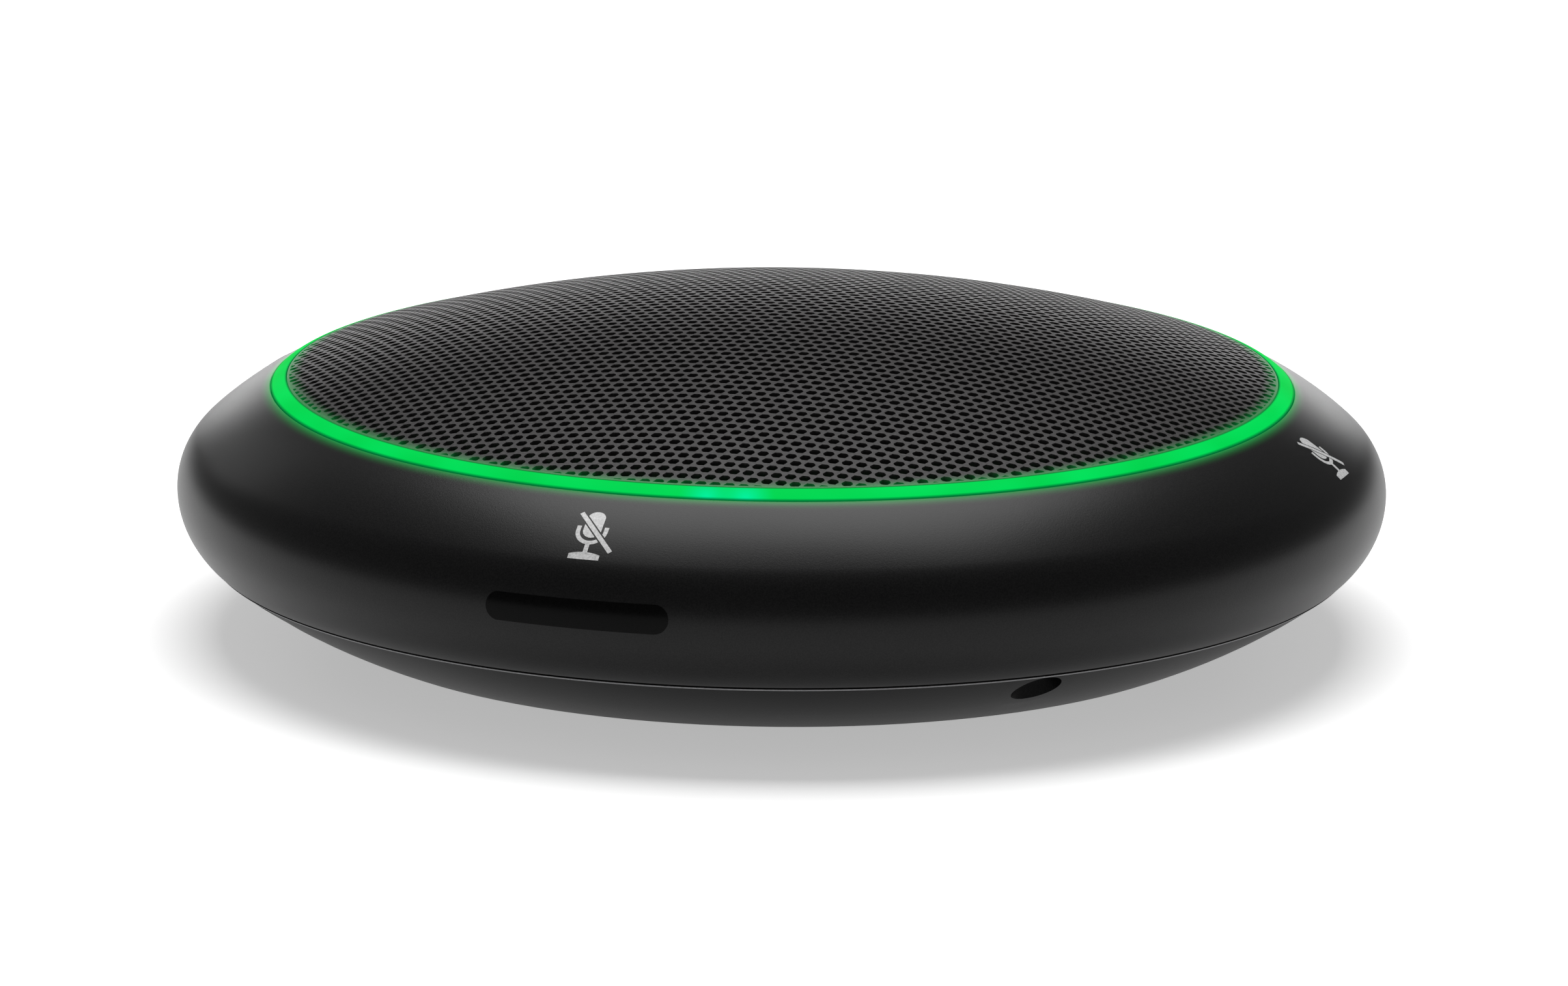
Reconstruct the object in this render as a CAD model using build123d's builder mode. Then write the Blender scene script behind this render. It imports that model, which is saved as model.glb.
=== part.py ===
from build123d import *
from math import sqrt
import os

# A round conference microphone for the middle of a table.
# Millimetres, +Z up. The origin is the centre of the circle that the foot ring stands on.
# The front is at -Y, and the cable leaves at the back, at +Y.

# Overall sizes
diameter = 134.0           # across the widest part of the housing
height = 36.0              # from the table to the top of the grille

# Outer skin
base_height = 1.0          # flat underside above the table
base_inset = 16.7          # edge of the flat underside, in from the widest radius
seam_height = 8.5          # parting line between cover and housing
seam_inset = 3.6           # parting line, in from the widest radius
seam_gap = 0.15            # open line between cover and housing
girth_height = 15.8        # height of the widest circle
haunch_inset = 2.6         # where the tight curve above the girth ends
haunch_rise = 5.9
shoulder_inset = 10.4      # inner end of the shoulder, where the light ring starts
ring_width = 1.7           # visible width of the light ring, seen from above
ring_rise = 0.95           # how much the light ring climbs towards the grille
dome_rise = 8.05           # rise of the grille from its edge to its top

# Walls and clearances
housing_wall = 2.2
cover_wall = 2.0
rib_wall = 1.5             # walls of the pocket and of the cable channel
lip_wall = 1.2             # lip of the cover that centres the housing
lip_height = 2.0
lip_root = 2.0
fit = 0.2                  # between parts that slip into each other
close_fit = 0.05           # between parts that are pressed or glued together

# Foot ring
foot_inner_radius = 38.0
foot_width = 8.0
foot_height = 1.8
foot_bevel = 0.3

# Cable pocket, cable channel and network socket
pocket_width = 22.0
pocket_front = -5.0        # wall that the socket looks out of
pocket_back = 32.0
channel_width = 7.0
channel_height = 6.2
socket_width = 15.9
socket_height = 12.9
socket_length = 21.0
socket_gap = 0.2           # shield to floor
shield_sheet = 0.3
plug_width = 11.9
plug_height = 6.8
plug_depth = 14.0
latch_width = 6.3
latch_height = 2.0
plug_roof = 3.1            # socket body above the plug
contact_count = 8
contact_pitch = 1.02
contact_width = 0.45
contact_thickness = 0.35
contact_length = 10.0

# Circuit boards
board_thickness = 1.6
board_gap = 0.4            # pocket roof to main board
board_margin = 4.5         # main board edge to the case screw bosses
mic_board_inset = 8.8      # microphone board edge, in from the widest radius

# Light ring, grille, foam and microphone carrier
lip_thickness = 2.15       # housing at the edge of its opening
flange_width = 1.4         # light ring flange under the housing's edge
flange_height = 1.7
grille_sheet = 0.8
foam_gap = 0.2
foam_thickness = 2.5
carrier_height = 1.9
carrier_plate = 1.1
carrier_rim = 3.2
led_count = 24
led_size = 1.6
led_height = 0.8
led_gap = 0.2
mic_count = 8
mic_circle = 40.0
mic_radius = 3.0
mic_height = 2.7
boot_radius = 4.5
boot_height = 3.9
boot_floor = 0.9

# Fasteners
case_screw_count = 4
case_screw_inset = 6.6     # case screw circle, in from the widest radius
case_screw_radius = 1.5
case_head_radius = 2.45
case_head_height = 2.4
counterbore_radius = 2.65
web_thickness = 1.2        # plastic between screw head and housing boss
pillar_radius = 4.0
pillar_rise = 3.7          # top of the cover's pillars above the parting line
case_boss_radius = 3.5
boss_drop = 1.0            # top of the case bosses below the microphone board
hex_key_radius = 1.3
hex_key_depth = 1.4
standoff_x = 26.0
standoff_y = 19.0
standoff_radius = 2.6
stud_radius = 1.3
stud_length = 5.0
board_boss_radius = 3.2
carrier_screw_count = 4
carrier_screw_circle = 30.0
carrier_screw_radius = 1.0
carrier_head_radius = 1.9
carrier_head_height = 1.2
carrier_boss_radius = 2.6
carrier_boss_rise = 1.4
insert_spacing = 48.0
insert_radius = 2.8
insert_length = 7.0
insert_thread_radius = 1.65
insert_boss_radius = 4.5
insert_roof = 1.5

# Ballast
ballast_inner_radius = 37.0
ballast_edge = 1.4         # ballast to the edge of the flat underside
ballast_height = 6.0
post_count = 4
post_radius = 1.8

# Reset button and its switch
reset_x = 17.5
reset_y = 16.0
reset_travel = 0.25
reset_recess = 0.5
reset_radius = 1.5
reset_flange_radius = 2.4
reset_flange_height = 1.0
guide_wall = 1.0
guide_height = 7.0
switch_size = 6.0
switch_height = 3.4
plunger_radius = 1.0
plunger_depth = 1.4
over_travel = 0.15

# Badge, touch pads and label
badge_width = 20.2
badge_height = 3.1
badge_drop = 0.6           # badge centre above the girth
badge_depth = 0.5
touch_pad_count = 4
touch_pad_width = 9.0
touch_pad_height = 5.0
touch_pad_sheet = 0.3
label_width = 24.0
label_length = 12.0
label_sheet = 0.1

# Parts on the boards
magnetics_gap = 1.5        # behind the socket
magnetics_length = 16.0
magnetics_width = 8.0
magnetics_height = 6.0
power_circle = 38.0        # middle of the power parts, from the centre
transformer_width = 13.0
transformer_length = 15.0
transformer_height = 6.5
inductor_size = 10.0
inductor_height = 4.5
capacitor_radius = 3.15
capacitor_height = 6.0
processor_size = 15.0
chip_height = 1.2
thermal_pad_size = 12.0
thermal_pad_height = 0.6
can_size = 22.0
can_sheet = 0.2
can_corner = 0.8
memory_spacing = 36.0
memory_width = 8.0
memory_length = 11.0
connector_y = 39.0
connector_length = 22.0
connector_width = 5.0
audio_spacing_x = 68.0
audio_spacing_y = 36.0
audio_chip_size = 7.0
audio_chip_height = 1.0

# Places worked out from the sizes above
radius = diameter / 2
base_radius = radius - base_inset
seam_radius = radius - seam_inset
ring_outer = radius - shoulder_inset
ring_inner = ring_outer - ring_width
dome_edge = height - dome_rise
shoulder_height = dome_edge - ring_rise
floor_top = base_height + cover_wall
pillar_top = seam_height + pillar_rise
screw_circle = radius - case_screw_inset
board_bottom = floor_top + socket_gap + shield_sheet + socket_height
board_top = board_bottom + board_thickness
board_radius = screw_circle - case_boss_radius - board_margin
pocket_roof = board_bottom - board_gap - rib_wall
lip_underside = shoulder_height - lip_thickness
mic_board_top = lip_underside - close_fit - flange_height
mic_board_bottom = mic_board_top - board_thickness
mic_board_radius = radius - mic_board_inset
grille_radius = ring_inner - close_fit
carrier_top = mic_board_top + carrier_height
carrier_radius = grille_radius - close_fit
foam_radius = carrier_radius - carrier_rim - fit
dome_radius = (grille_radius**2 + dome_rise**2) / (2 * dome_rise)
foot_outer_radius = foot_inner_radius + foot_width
foot_groove = foot_height - base_height
ballast_outer_radius = base_radius - ballast_edge
ballast_circle = (ballast_inner_radius + ballast_outer_radius) / 2
board_space = mic_board_bottom - board_top
beyond = 10.0              # how far cutting tools run past what they cut


def arc_centre(start, outward, end):
    """Centre of the arc that starts square to the outward direction and runs to end."""
    chord = end - start
    return start + outward * (chord.dot(chord) / (2 * chord.dot(outward)))


# Corners of the outer skin, and the direction that the skin faces at each of them
girth = Vector(radius, girth_height)
seam = Vector(seam_radius, seam_height)
base = Vector(base_radius, base_height)
haunch = Vector(radius - haunch_inset, girth_height + haunch_rise)
shoulder = Vector(ring_outer, shoulder_height)
girth_out = Vector(1, 0)
seam_out = (seam - arc_centre(girth, girth_out, seam)).normalized()
base_out = (base - arc_centre(seam, seam_out, base)).normalized()
haunch_out = (haunch - arc_centre(girth, girth_out, haunch)).normalized()
shoulder_out = (shoulder - arc_centre(haunch, haunch_out, shoulder)).normalized()


def body(inset):
    """Solid of revolution inside the outer skin, with that skin moved inwards by inset."""
    low = base_height + inset
    high = shoulder_height - inset
    bottom = base - base_out * inset
    top = shoulder - shoulder_out * inset
    with BuildPart() as solid:
        with BuildSketch(Plane.XZ):
            with BuildLine():
                belt = girth - girth_out * inset
                lower = TangentArc(belt, seam - seam_out * inset, tangent=(0, -1))
                TangentArc(lower @ 1, bottom, tangent=lower % 1)
                upper = TangentArc(belt, haunch - haunch_out * inset, tangent=(0, 1))
                TangentArc(upper @ 1, top, tangent=upper % 1)
                Polyline(top, (0, top.Y), (0, bottom.Y), bottom)
            make_face()
            with Locations((radius, (low + high) / 2)):
                Rectangle(2 * radius, high - low, mode=Mode.INTERSECT)
        revolve(axis=Axis.Z)
    return solid.part


def dome(inset, edge_radius, floor):
    """Solid under the grille's outer surface, lowered by inset, down to a flat floor."""
    sphere = dome_radius - inset
    edge = height - dome_radius + sqrt(sphere**2 - edge_radius**2)
    top = height - inset
    with BuildPart() as solid:
        with BuildSketch(Plane.XZ):
            with BuildLine():
                TangentArc((0, top), (edge_radius, edge), tangent=(1, 0))
                Line((edge_radius, edge), (edge_radius, floor))
                Line((edge_radius, floor), (0, floor))
                Line((0, floor), (0, top))
            make_face()
        revolve(axis=Axis.Z)
    return solid.part


outer_body = body(0)
housing_cavity = body(housing_wall)
cover_cavity = body(cover_wall)
lip_body = body(housing_wall + fit)
lip_cavity = body(housing_wall + fit + lip_wall)

# Room for the cover: the whole body below the parting line, and inside the housing above it
with BuildPart() as below_seam:
    add(outer_body)
    split(bisect_by=Plane.XY.offset(seam_height), keep=Keep.BOTTOM)

with BuildPart() as cover_room:
    add(lip_body)
    split(bisect_by=Plane.XY.offset(board_bottom), keep=Keep.BOTTOM)
    add(below_seam.part)

with BuildPart() as cover_hollow:
    add(cover_cavity)
    split(bisect_by=Plane.XY.offset(seam_height - lip_root), keep=Keep.BOTTOM)

os.makedirs("parts", exist_ok=True)


def save(part, label):
    """Label a finished piece and write it."""
    part.label = label
    export_step(part, f"parts/{label}.step")


# Foot ring, open at the back where the cable passes
channel_outer = channel_width + 2 * rib_wall
with BuildPart() as foot_ring:
    with BuildSketch():
        Circle(foot_outer_radius)
        Circle(foot_inner_radius, mode=Mode.SUBTRACT)
        with Locations((0, foot_outer_radius)):
            Rectangle(channel_width + 2 * fit, 2 * foot_width + beyond, mode=Mode.SUBTRACT)
    extrude(amount=foot_height)
    chamfer(foot_ring.faces().sort_by(Axis.Z)[0].edges(), foot_bevel)
save(foot_ring.part, "foot_ring")

# Lower cover: a dished floor with the cable pocket, the channel, bosses and screw pillars
pocket_length = pocket_back - pocket_front
pocket_middle = (pocket_back + pocket_front) / 2
socket_opening = socket_width + 2 * (shield_sheet + fit)
insert_hole_radius = insert_radius + close_fit
with BuildPart() as lower_cover:
    add(cover_room.part)
    add(lip_cavity, mode=Mode.SUBTRACT)
    add(cover_hollow.part, mode=Mode.SUBTRACT)
    split(bisect_by=Plane.XY.offset(seam_height + lip_height), keep=Keep.BOTTOM)
    # walls of the pocket, and of the channel that leads to the rim
    with BuildSketch(Plane.XY.offset(base_height)):
        with Locations((0, pocket_middle)):
            Rectangle(pocket_width + 2 * rib_wall, pocket_length + 2 * rib_wall)
    extrude(amount=pocket_roof + rib_wall - base_height)
    with BuildSketch(Plane.XY.offset(base_height)):
        with Locations((0, (pocket_back + radius) / 2)):
            Rectangle(channel_outer, radius - pocket_back)
    extrude(amount=seam_height - base_height)
    # pillars for the case screws
    with BuildSketch(Plane.XY.offset(base_height)):
        with PolarLocations(screw_circle, case_screw_count, start_angle=45):
            Circle(pillar_radius)
    extrude(amount=pillar_top - base_height)
    # bosses under the main board
    with BuildSketch(Plane.XY.offset(base_height)):
        with GridLocations(2 * standoff_x, 2 * standoff_y, 2, 2):
            Circle(board_boss_radius)
    extrude(amount=board_bottom - base_height)
    # bosses for the table mount inserts
    with BuildSketch(Plane.XY.offset(base_height)):
        with GridLocations(insert_spacing, 1, 2, 1):
            Circle(insert_boss_radius)
    extrude(amount=insert_length + insert_roof)
    # posts that hold the ballast in place
    with BuildSketch(Plane.XY.offset(floor_top)):
        with PolarLocations(ballast_circle, post_count, start_angle=45):
            Circle(post_radius)
    extrude(amount=ballast_height + fit)
    # guide tube of the reset button
    with BuildSketch(Plane.XY.offset(base_height)):
        with Locations((reset_x, reset_y)):
            Circle(reset_flange_radius + fit + guide_wall)
    extrude(amount=cover_wall + guide_height)
    add(cover_room.part, mode=Mode.INTERSECT)
    # pocket, channel and socket opening
    with BuildSketch(Plane.XY):
        with Locations((0, pocket_middle)):
            Rectangle(pocket_width, pocket_length)
    extrude(amount=pocket_roof, mode=Mode.SUBTRACT)
    with BuildSketch(Plane.XY):
        with Locations((0, (pocket_back + radius) / 2)):
            Rectangle(channel_width, radius - pocket_back + 2 * beyond)
    extrude(amount=base_height + channel_height, mode=Mode.SUBTRACT)
    with BuildSketch(Plane.XY.offset(floor_top)):
        with Locations((0, pocket_front)):
            Rectangle(socket_opening, 2 * rib_wall + beyond, align=(Align.CENTER, Align.MAX))
    extrude(amount=board_bottom - floor_top, mode=Mode.SUBTRACT)
    # groove for the foot ring
    with BuildSketch(Plane.XY.offset(base_height)):
        Circle(foot_outer_radius)
        Circle(foot_inner_radius, mode=Mode.SUBTRACT)
    extrude(amount=foot_groove, mode=Mode.SUBTRACT)
    # counterbores and holes for the case screws
    with BuildSketch(Plane.XY):
        with PolarLocations(screw_circle, case_screw_count, start_angle=45):
            Circle(counterbore_radius)
    extrude(amount=pillar_top - web_thickness, mode=Mode.SUBTRACT)
    with BuildSketch(Plane.XY):
        with PolarLocations(screw_circle, case_screw_count, start_angle=45):
            Circle(case_screw_radius + fit)
    extrude(amount=pillar_top + beyond, mode=Mode.SUBTRACT)
    # holes in the board bosses
    with BuildSketch(Plane.XY.offset(board_bottom)):
        with GridLocations(2 * standoff_x, 2 * standoff_y, 2, 2):
            Circle(stud_radius + close_fit)
    extrude(amount=-(stud_length - board_thickness + fit), mode=Mode.SUBTRACT)
    # holes for the inserts
    with BuildSketch(Plane.XY):
        with GridLocations(insert_spacing, 1, 2, 1):
            Circle(insert_hole_radius)
    extrude(amount=base_height + insert_length, mode=Mode.SUBTRACT)
    # reset button: a small hole through the floor, and the bore of the guide tube above it
    with BuildSketch(Plane.XY):
        with Locations((reset_x, reset_y)):
            Circle(reset_radius + fit)
    extrude(amount=floor_top, mode=Mode.SUBTRACT)
    with BuildSketch(Plane.XY.offset(floor_top)):
        with Locations((reset_x, reset_y)):
            Circle(reset_flange_radius + fit)
    extrude(amount=guide_height + beyond, mode=Mode.SUBTRACT)
save(lower_cover.part, "lower_cover")

# Brass inserts for a table mount
with BuildPart() as mount_inserts:
    with BuildSketch(Plane.XY.offset(base_height)):
        with GridLocations(insert_spacing, 1, 2, 1):
            Circle(insert_radius)
            Circle(insert_thread_radius, mode=Mode.SUBTRACT)
    extrude(amount=insert_length)
save(mount_inserts.part, "mount_inserts")

# Ballast: a heavy cast ring that lies on the floor around the pocket
with BuildPart() as ballast_ring:
    with BuildSketch(Plane.XY.offset(floor_top)):
        Circle(ballast_outer_radius)
        Circle(ballast_inner_radius, mode=Mode.SUBTRACT)
        with Locations((0, ballast_circle)):
            Rectangle(channel_outer + 2 * fit, 2 * ballast_height + beyond, mode=Mode.SUBTRACT)
        with PolarLocations(ballast_circle, post_count, start_angle=45):
            Circle(post_radius + fit, mode=Mode.SUBTRACT)
    extrude(amount=ballast_height)
save(ballast_ring.part, "ballast_ring")

# Blank label under the socket
label_middle = pocket_front - rib_wall - socket_length / 2
with BuildPart() as rating_label:
    with BuildSketch(Plane.XY.offset(base_height)):
        with Locations((0, label_middle)):
            RectangleRounded(label_width, label_length, 1)
    extrude(amount=-label_sheet)
save(rating_label.part, "rating_label")

# Reset button: a plunger in the cover's guide tube, stopped by its flange
reset_spot = (reset_x, reset_y)
switch_bottom = board_bottom - switch_height
button_top = switch_bottom - reset_travel - over_travel
with BuildPart() as reset_button:
    with BuildSketch(Plane.XY.offset(base_height + reset_recess)):
        with Locations(reset_spot):
            Circle(reset_radius)
    extrude(amount=button_top - base_height - reset_recess)
    with BuildSketch(Plane.XY.offset(floor_top + close_fit)):
        with Locations(reset_spot):
            Circle(reset_flange_radius)
    extrude(amount=reset_flange_height)
save(reset_button.part, "reset_button")

# Plunger of the reset switch, which the button pushes up into the switch
with BuildPart() as switch_plunger:
    with BuildSketch(Plane.XY.offset(button_top)):
        with Locations(reset_spot):
            Circle(plunger_radius)
    extrude(amount=switch_bottom + plunger_depth - button_top)
save(switch_plunger.part, "switch_plunger")

with BuildPart() as reset_switch:
    with BuildSketch(Plane.XY.offset(switch_bottom)):
        with Locations(reset_spot):
            RectangleRounded(switch_size, switch_size, 0.5)
    extrude(amount=switch_height)
    with BuildSketch(Plane.XY.offset(switch_bottom)):
        with Locations(reset_spot):
            Circle(plunger_radius + fit)
    extrude(amount=plunger_depth + reset_travel + over_travel, mode=Mode.SUBTRACT)
save(reset_switch.part, "reset_switch")

# Upper housing: the skin above the parting line, open at the top for ring and grille
badge_bottom = girth_height + badge_drop - badge_height / 2
opening_radius = ring_outer + close_fit
flange_radius = ring_outer + flange_width
with BuildPart() as badge_zone:
    add(outer_body)
    add(body(badge_depth), mode=Mode.SUBTRACT)
    with BuildSketch(Plane.XZ):
        with Locations((0, badge_bottom + badge_height / 2)):
            RectangleRounded(badge_width, badge_height, badge_height / 2 - 0.01)
    extrude(amount=radius + beyond, mode=Mode.INTERSECT)
with BuildPart() as upper_housing:
    add(outer_body)
    split(bisect_by=Plane.XY.offset(seam_height + seam_gap), keep=Keep.TOP)
    add(housing_cavity, mode=Mode.SUBTRACT)
    # bosses for the case screws, joined to the skin
    with BuildSketch(Plane.XY.offset(pillar_top)):
        with PolarLocations(screw_circle, case_screw_count, start_angle=45):
            Circle(case_boss_radius)
    extrude(amount=mic_board_bottom - boss_drop - pillar_top)
    add(outer_body, mode=Mode.INTERSECT)
    with BuildSketch(Plane.XY.offset(pillar_top)):
        with PolarLocations(screw_circle, case_screw_count, start_angle=45):
            Circle(case_screw_radius + close_fit)
    extrude(amount=mic_board_bottom - boss_drop - pillar_top - rib_wall, mode=Mode.SUBTRACT)
    # the counterbores cut into the foot of the wall
    with BuildSketch(Plane.XY):
        with PolarLocations(screw_circle, case_screw_count, start_angle=45):
            Circle(counterbore_radius)
    extrude(amount=pillar_top - web_thickness, mode=Mode.SUBTRACT)
    # opening for the light ring, with a step under the edge for its flange
    with BuildSketch(Plane.XY.offset(mic_board_top)):
        Circle(opening_radius)
    extrude(amount=2 * height, mode=Mode.SUBTRACT)
    with BuildSketch(Plane.XY.offset(mic_board_top - board_thickness)):
        Circle(flange_radius + fit)
    extrude(amount=lip_underside - mic_board_top + board_thickness, mode=Mode.SUBTRACT)
    add(badge_zone.part, mode=Mode.SUBTRACT)
save(upper_housing.part, "upper_housing")

# Blank badge in its recess at the front
with BuildPart() as badge:
    add(badge_zone.part)
save(badge.part, "badge")

# Case screws, from below
head_top = pillar_top - web_thickness
screw_tip = mic_board_bottom - boss_drop - rib_wall - fit
with BuildPart() as case_screws:
    with BuildSketch(Plane.XY.offset(head_top)):
        with PolarLocations(screw_circle, case_screw_count, start_angle=45):
            Circle(case_head_radius)
    extrude(amount=-case_head_height)
    with BuildSketch(Plane.XY.offset(head_top)):
        with PolarLocations(screw_circle, case_screw_count, start_angle=45):
            Circle(case_screw_radius)
    extrude(amount=screw_tip - head_top)
    with BuildSketch(Plane.XY.offset(head_top - case_head_height)):
        with PolarLocations(screw_circle, case_screw_count, start_angle=45):
            RegularPolygon(hex_key_radius, 6)
    extrude(amount=hex_key_depth, mode=Mode.SUBTRACT)
save(case_screws.part, "case_screws")

# Touch pads: foil on the inside of the skin behind each mute mark
touch_level = mic_board_top - board_thickness / 2 - touch_pad_height / 2
with BuildPart() as touch_pads:
    add(housing_cavity)
    add(body(housing_wall + touch_pad_sheet), mode=Mode.SUBTRACT)
    with BuildSketch(Plane.XY.offset(touch_level - touch_pad_height / 2)):
        with PolarLocations(radius, touch_pad_count):
            Rectangle(radius / 2, touch_pad_width)
    extrude(amount=touch_pad_height, mode=Mode.INTERSECT)
save(touch_pads.part, "touch_pads")

# Light ring: a translucent band with a flange that the housing's edge holds down
with BuildPart() as light_ring:
    with BuildSketch(Plane.XZ):
        with BuildLine():
            Polyline(
                (ring_inner, mic_board_top + led_height + led_gap),
                (ring_inner, dome_edge),
                (ring_outer, shoulder_height),
                (ring_outer, lip_underside - close_fit),
                (flange_radius, lip_underside - close_fit),
                (flange_radius, mic_board_top),
                (ring_outer + close_fit, mic_board_top),
                (ring_outer + close_fit, mic_board_top + led_height + led_gap),
                close=True,
            )
        make_face()
    revolve(axis=Axis.Z)
save(light_ring.part, "light_ring")

# Grille: a domed steel sheet with a turned-down edge
skirt_bottom = carrier_top
with BuildPart() as grille:
    add(dome(0, grille_radius, skirt_bottom))
    add(dome(grille_sheet, grille_radius - grille_sheet, skirt_bottom), mode=Mode.SUBTRACT)
save(grille.part, "grille")

# Acoustic foam under the grille
foam_top = grille_sheet + foam_gap
foam_floor = carrier_top
with BuildPart() as acoustic_foam:
    add(dome(foam_top, foam_radius, foam_floor))
    add(dome(foam_top + foam_thickness, foam_radius + beyond / 5, 0), mode=Mode.SUBTRACT)
save(acoustic_foam.part, "acoustic_foam")

# Microphone carrier: a plate on a rim, with a hole for each microphone's boot
with BuildPart() as mic_carrier:
    with BuildSketch(Plane.XY.offset(carrier_top - carrier_plate)):
        Circle(carrier_radius)
    extrude(amount=carrier_plate)
    with BuildSketch(Plane.XY.offset(mic_board_top)):
        Circle(carrier_radius)
        Circle(carrier_radius - carrier_rim, mode=Mode.SUBTRACT)
    extrude(amount=carrier_height)
    with BuildSketch(Plane.XY.offset(mic_board_top)):
        with PolarLocations(carrier_screw_circle, carrier_screw_count):
            Circle(carrier_boss_radius)
    extrude(amount=carrier_height + carrier_boss_rise)
    with BuildSketch(Plane.XY.offset(mic_board_top)):
        with PolarLocations(mic_circle, mic_count, start_angle=180 / mic_count):
            Circle(boot_radius + fit)
    extrude(amount=carrier_height, mode=Mode.SUBTRACT)
    with BuildSketch(Plane.XY.offset(mic_board_top)):
        with PolarLocations(carrier_screw_circle, carrier_screw_count):
            Circle(carrier_screw_radius + close_fit)
    extrude(amount=carrier_height + carrier_boss_rise / 2, mode=Mode.SUBTRACT)
save(mic_carrier.part, "mic_carrier")

# Rubber boots and the microphones that sit in them
with BuildPart() as mic_boots:
    with BuildSketch(Plane.XY.offset(mic_board_top)):
        with PolarLocations(mic_circle, mic_count, start_angle=180 / mic_count):
            Circle(boot_radius)
    extrude(amount=boot_height)
    with BuildSketch(Plane.XY.offset(mic_board_top + boot_floor)):
        with PolarLocations(mic_circle, mic_count, start_angle=180 / mic_count):
            Circle(mic_radius + close_fit)
    extrude(amount=boot_height, mode=Mode.SUBTRACT)
save(mic_boots.part, "mic_boots")

with BuildPart() as mic_capsules:
    with BuildSketch(Plane.XY.offset(mic_board_top + boot_floor)):
        with PolarLocations(mic_circle, mic_count, start_angle=180 / mic_count):
            Circle(mic_radius)
    extrude(amount=mic_height)
save(mic_capsules.part, "mic_capsules")

# Microphone board, with the lights under the ring
with BuildPart() as mic_board:
    with BuildSketch(Plane.XY.offset(mic_board_bottom)):
        Circle(mic_board_radius)
        with PolarLocations(carrier_screw_circle, carrier_screw_count):
            Circle(carrier_screw_radius + fit, mode=Mode.SUBTRACT)
    extrude(amount=board_thickness)
save(mic_board.part, "mic_board")

led_circle = (ring_inner + ring_outer) / 2
with BuildPart() as ring_leds:
    with BuildSketch(Plane.XY.offset(mic_board_top)):
        with PolarLocations(led_circle, led_count):
            Rectangle(ring_width - 2 * fit, led_size)
    extrude(amount=led_height)
save(ring_leds.part, "ring_leds")

# Screws that hold the carrier, from under the microphone board
with BuildPart() as carrier_screws:
    with BuildSketch(Plane.XY.offset(mic_board_bottom)):
        with PolarLocations(carrier_screw_circle, carrier_screw_count):
            Circle(carrier_head_radius)
    extrude(amount=-carrier_head_height)
    with BuildSketch(Plane.XY.offset(mic_board_bottom)):
        with PolarLocations(carrier_screw_circle, carrier_screw_count):
            Circle(carrier_screw_radius)
    extrude(amount=board_thickness + carrier_height)
save(carrier_screws.part, "carrier_screws")

# Main board
standoff_places = (2 * standoff_x, 2 * standoff_y, 2, 2)
with BuildPart() as main_board:
    with BuildSketch(Plane.XY.offset(board_bottom)):
        Circle(board_radius)
        with GridLocations(*standoff_places):
            Circle(stud_radius + fit, mode=Mode.SUBTRACT)
    extrude(amount=board_thickness)
save(main_board.part, "main_board")

# Brass standoffs: their studs fix the main board, their tops carry the microphone board
with BuildPart() as board_standoffs:
    with BuildSketch(Plane.XY.offset(board_top)):
        with GridLocations(*standoff_places):
            RegularPolygon(standoff_radius, 6)
    extrude(amount=board_space)
    with BuildSketch(Plane.XY.offset(board_top)):
        with GridLocations(*standoff_places):
            Circle(stud_radius)
    extrude(amount=-stud_length)
save(board_standoffs.part, "board_standoffs")

# Network socket: a plastic body in a sheet metal shield, with its contacts
socket_bottom = board_bottom - socket_height
socket_front = pocket_front - close_fit
plug_top = board_bottom - plug_roof
with BuildPart() as socket_body:
    with BuildSketch(Plane.XY.offset(socket_bottom)):
        with Locations((0, socket_front)):
            Rectangle(socket_width, socket_length, align=(Align.CENTER, Align.MAX))
    extrude(amount=socket_height)
    with BuildSketch(Plane.XY.offset(plug_top)):
        with Locations((0, socket_front + 1)):
            Rectangle(plug_width, plug_depth + 1, align=(Align.CENTER, Align.MAX))
    extrude(amount=-plug_height, mode=Mode.SUBTRACT)
    with BuildSketch(Plane.XY.offset(plug_top - plug_height)):
        with Locations((0, socket_front + 1)):
            Rectangle(latch_width, plug_depth + 1, align=(Align.CENTER, Align.MAX))
    extrude(amount=-latch_height, mode=Mode.SUBTRACT)
save(socket_body.part, "socket_body")

with BuildPart() as socket_shield:
    with BuildSketch(Plane.XY.offset(socket_bottom - shield_sheet)):
        with Locations((0, socket_front)):
            Rectangle(
                socket_width + 2 * shield_sheet,
                socket_length + shield_sheet,
                align=(Align.CENTER, Align.MAX),
            )
    extrude(amount=socket_height + shield_sheet)
    with BuildSketch(Plane.XY.offset(socket_bottom)):
        with Locations((0, socket_front)):
            Rectangle(socket_width, socket_length, align=(Align.CENTER, Align.MAX))
    extrude(amount=socket_height, mode=Mode.SUBTRACT)
save(socket_shield.part, "socket_shield")

with BuildPart() as socket_contacts:
    with BuildSketch(Plane.XY.offset(plug_top)):
        with Locations((0, socket_front - plug_depth + contact_length / 2)):
            with GridLocations(contact_pitch, 1, contact_count, 1):
                Rectangle(contact_width, contact_length)
    extrude(amount=-contact_thickness)
save(socket_contacts.part, "socket_contacts")


# Parts under the main board, outside the pocket and above the ballast
with BuildPart() as network_magnetics:
    with BuildSketch(Plane.XY.offset(board_bottom)):
        with Locations((0, socket_front - socket_length - magnetics_gap)):
            Rectangle(magnetics_length, magnetics_width, align=(Align.CENTER, Align.MAX))
    extrude(amount=-magnetics_height)
save(network_magnetics.part, "network_magnetics")

with BuildPart() as power_transformer:
    with BuildSketch(Plane.XY.offset(board_bottom)):
        with Locations((-power_circle, 8)):
            RectangleRounded(transformer_width, transformer_length, 1)
    extrude(amount=-transformer_height)
save(power_transformer.part, "power_transformer")

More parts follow.
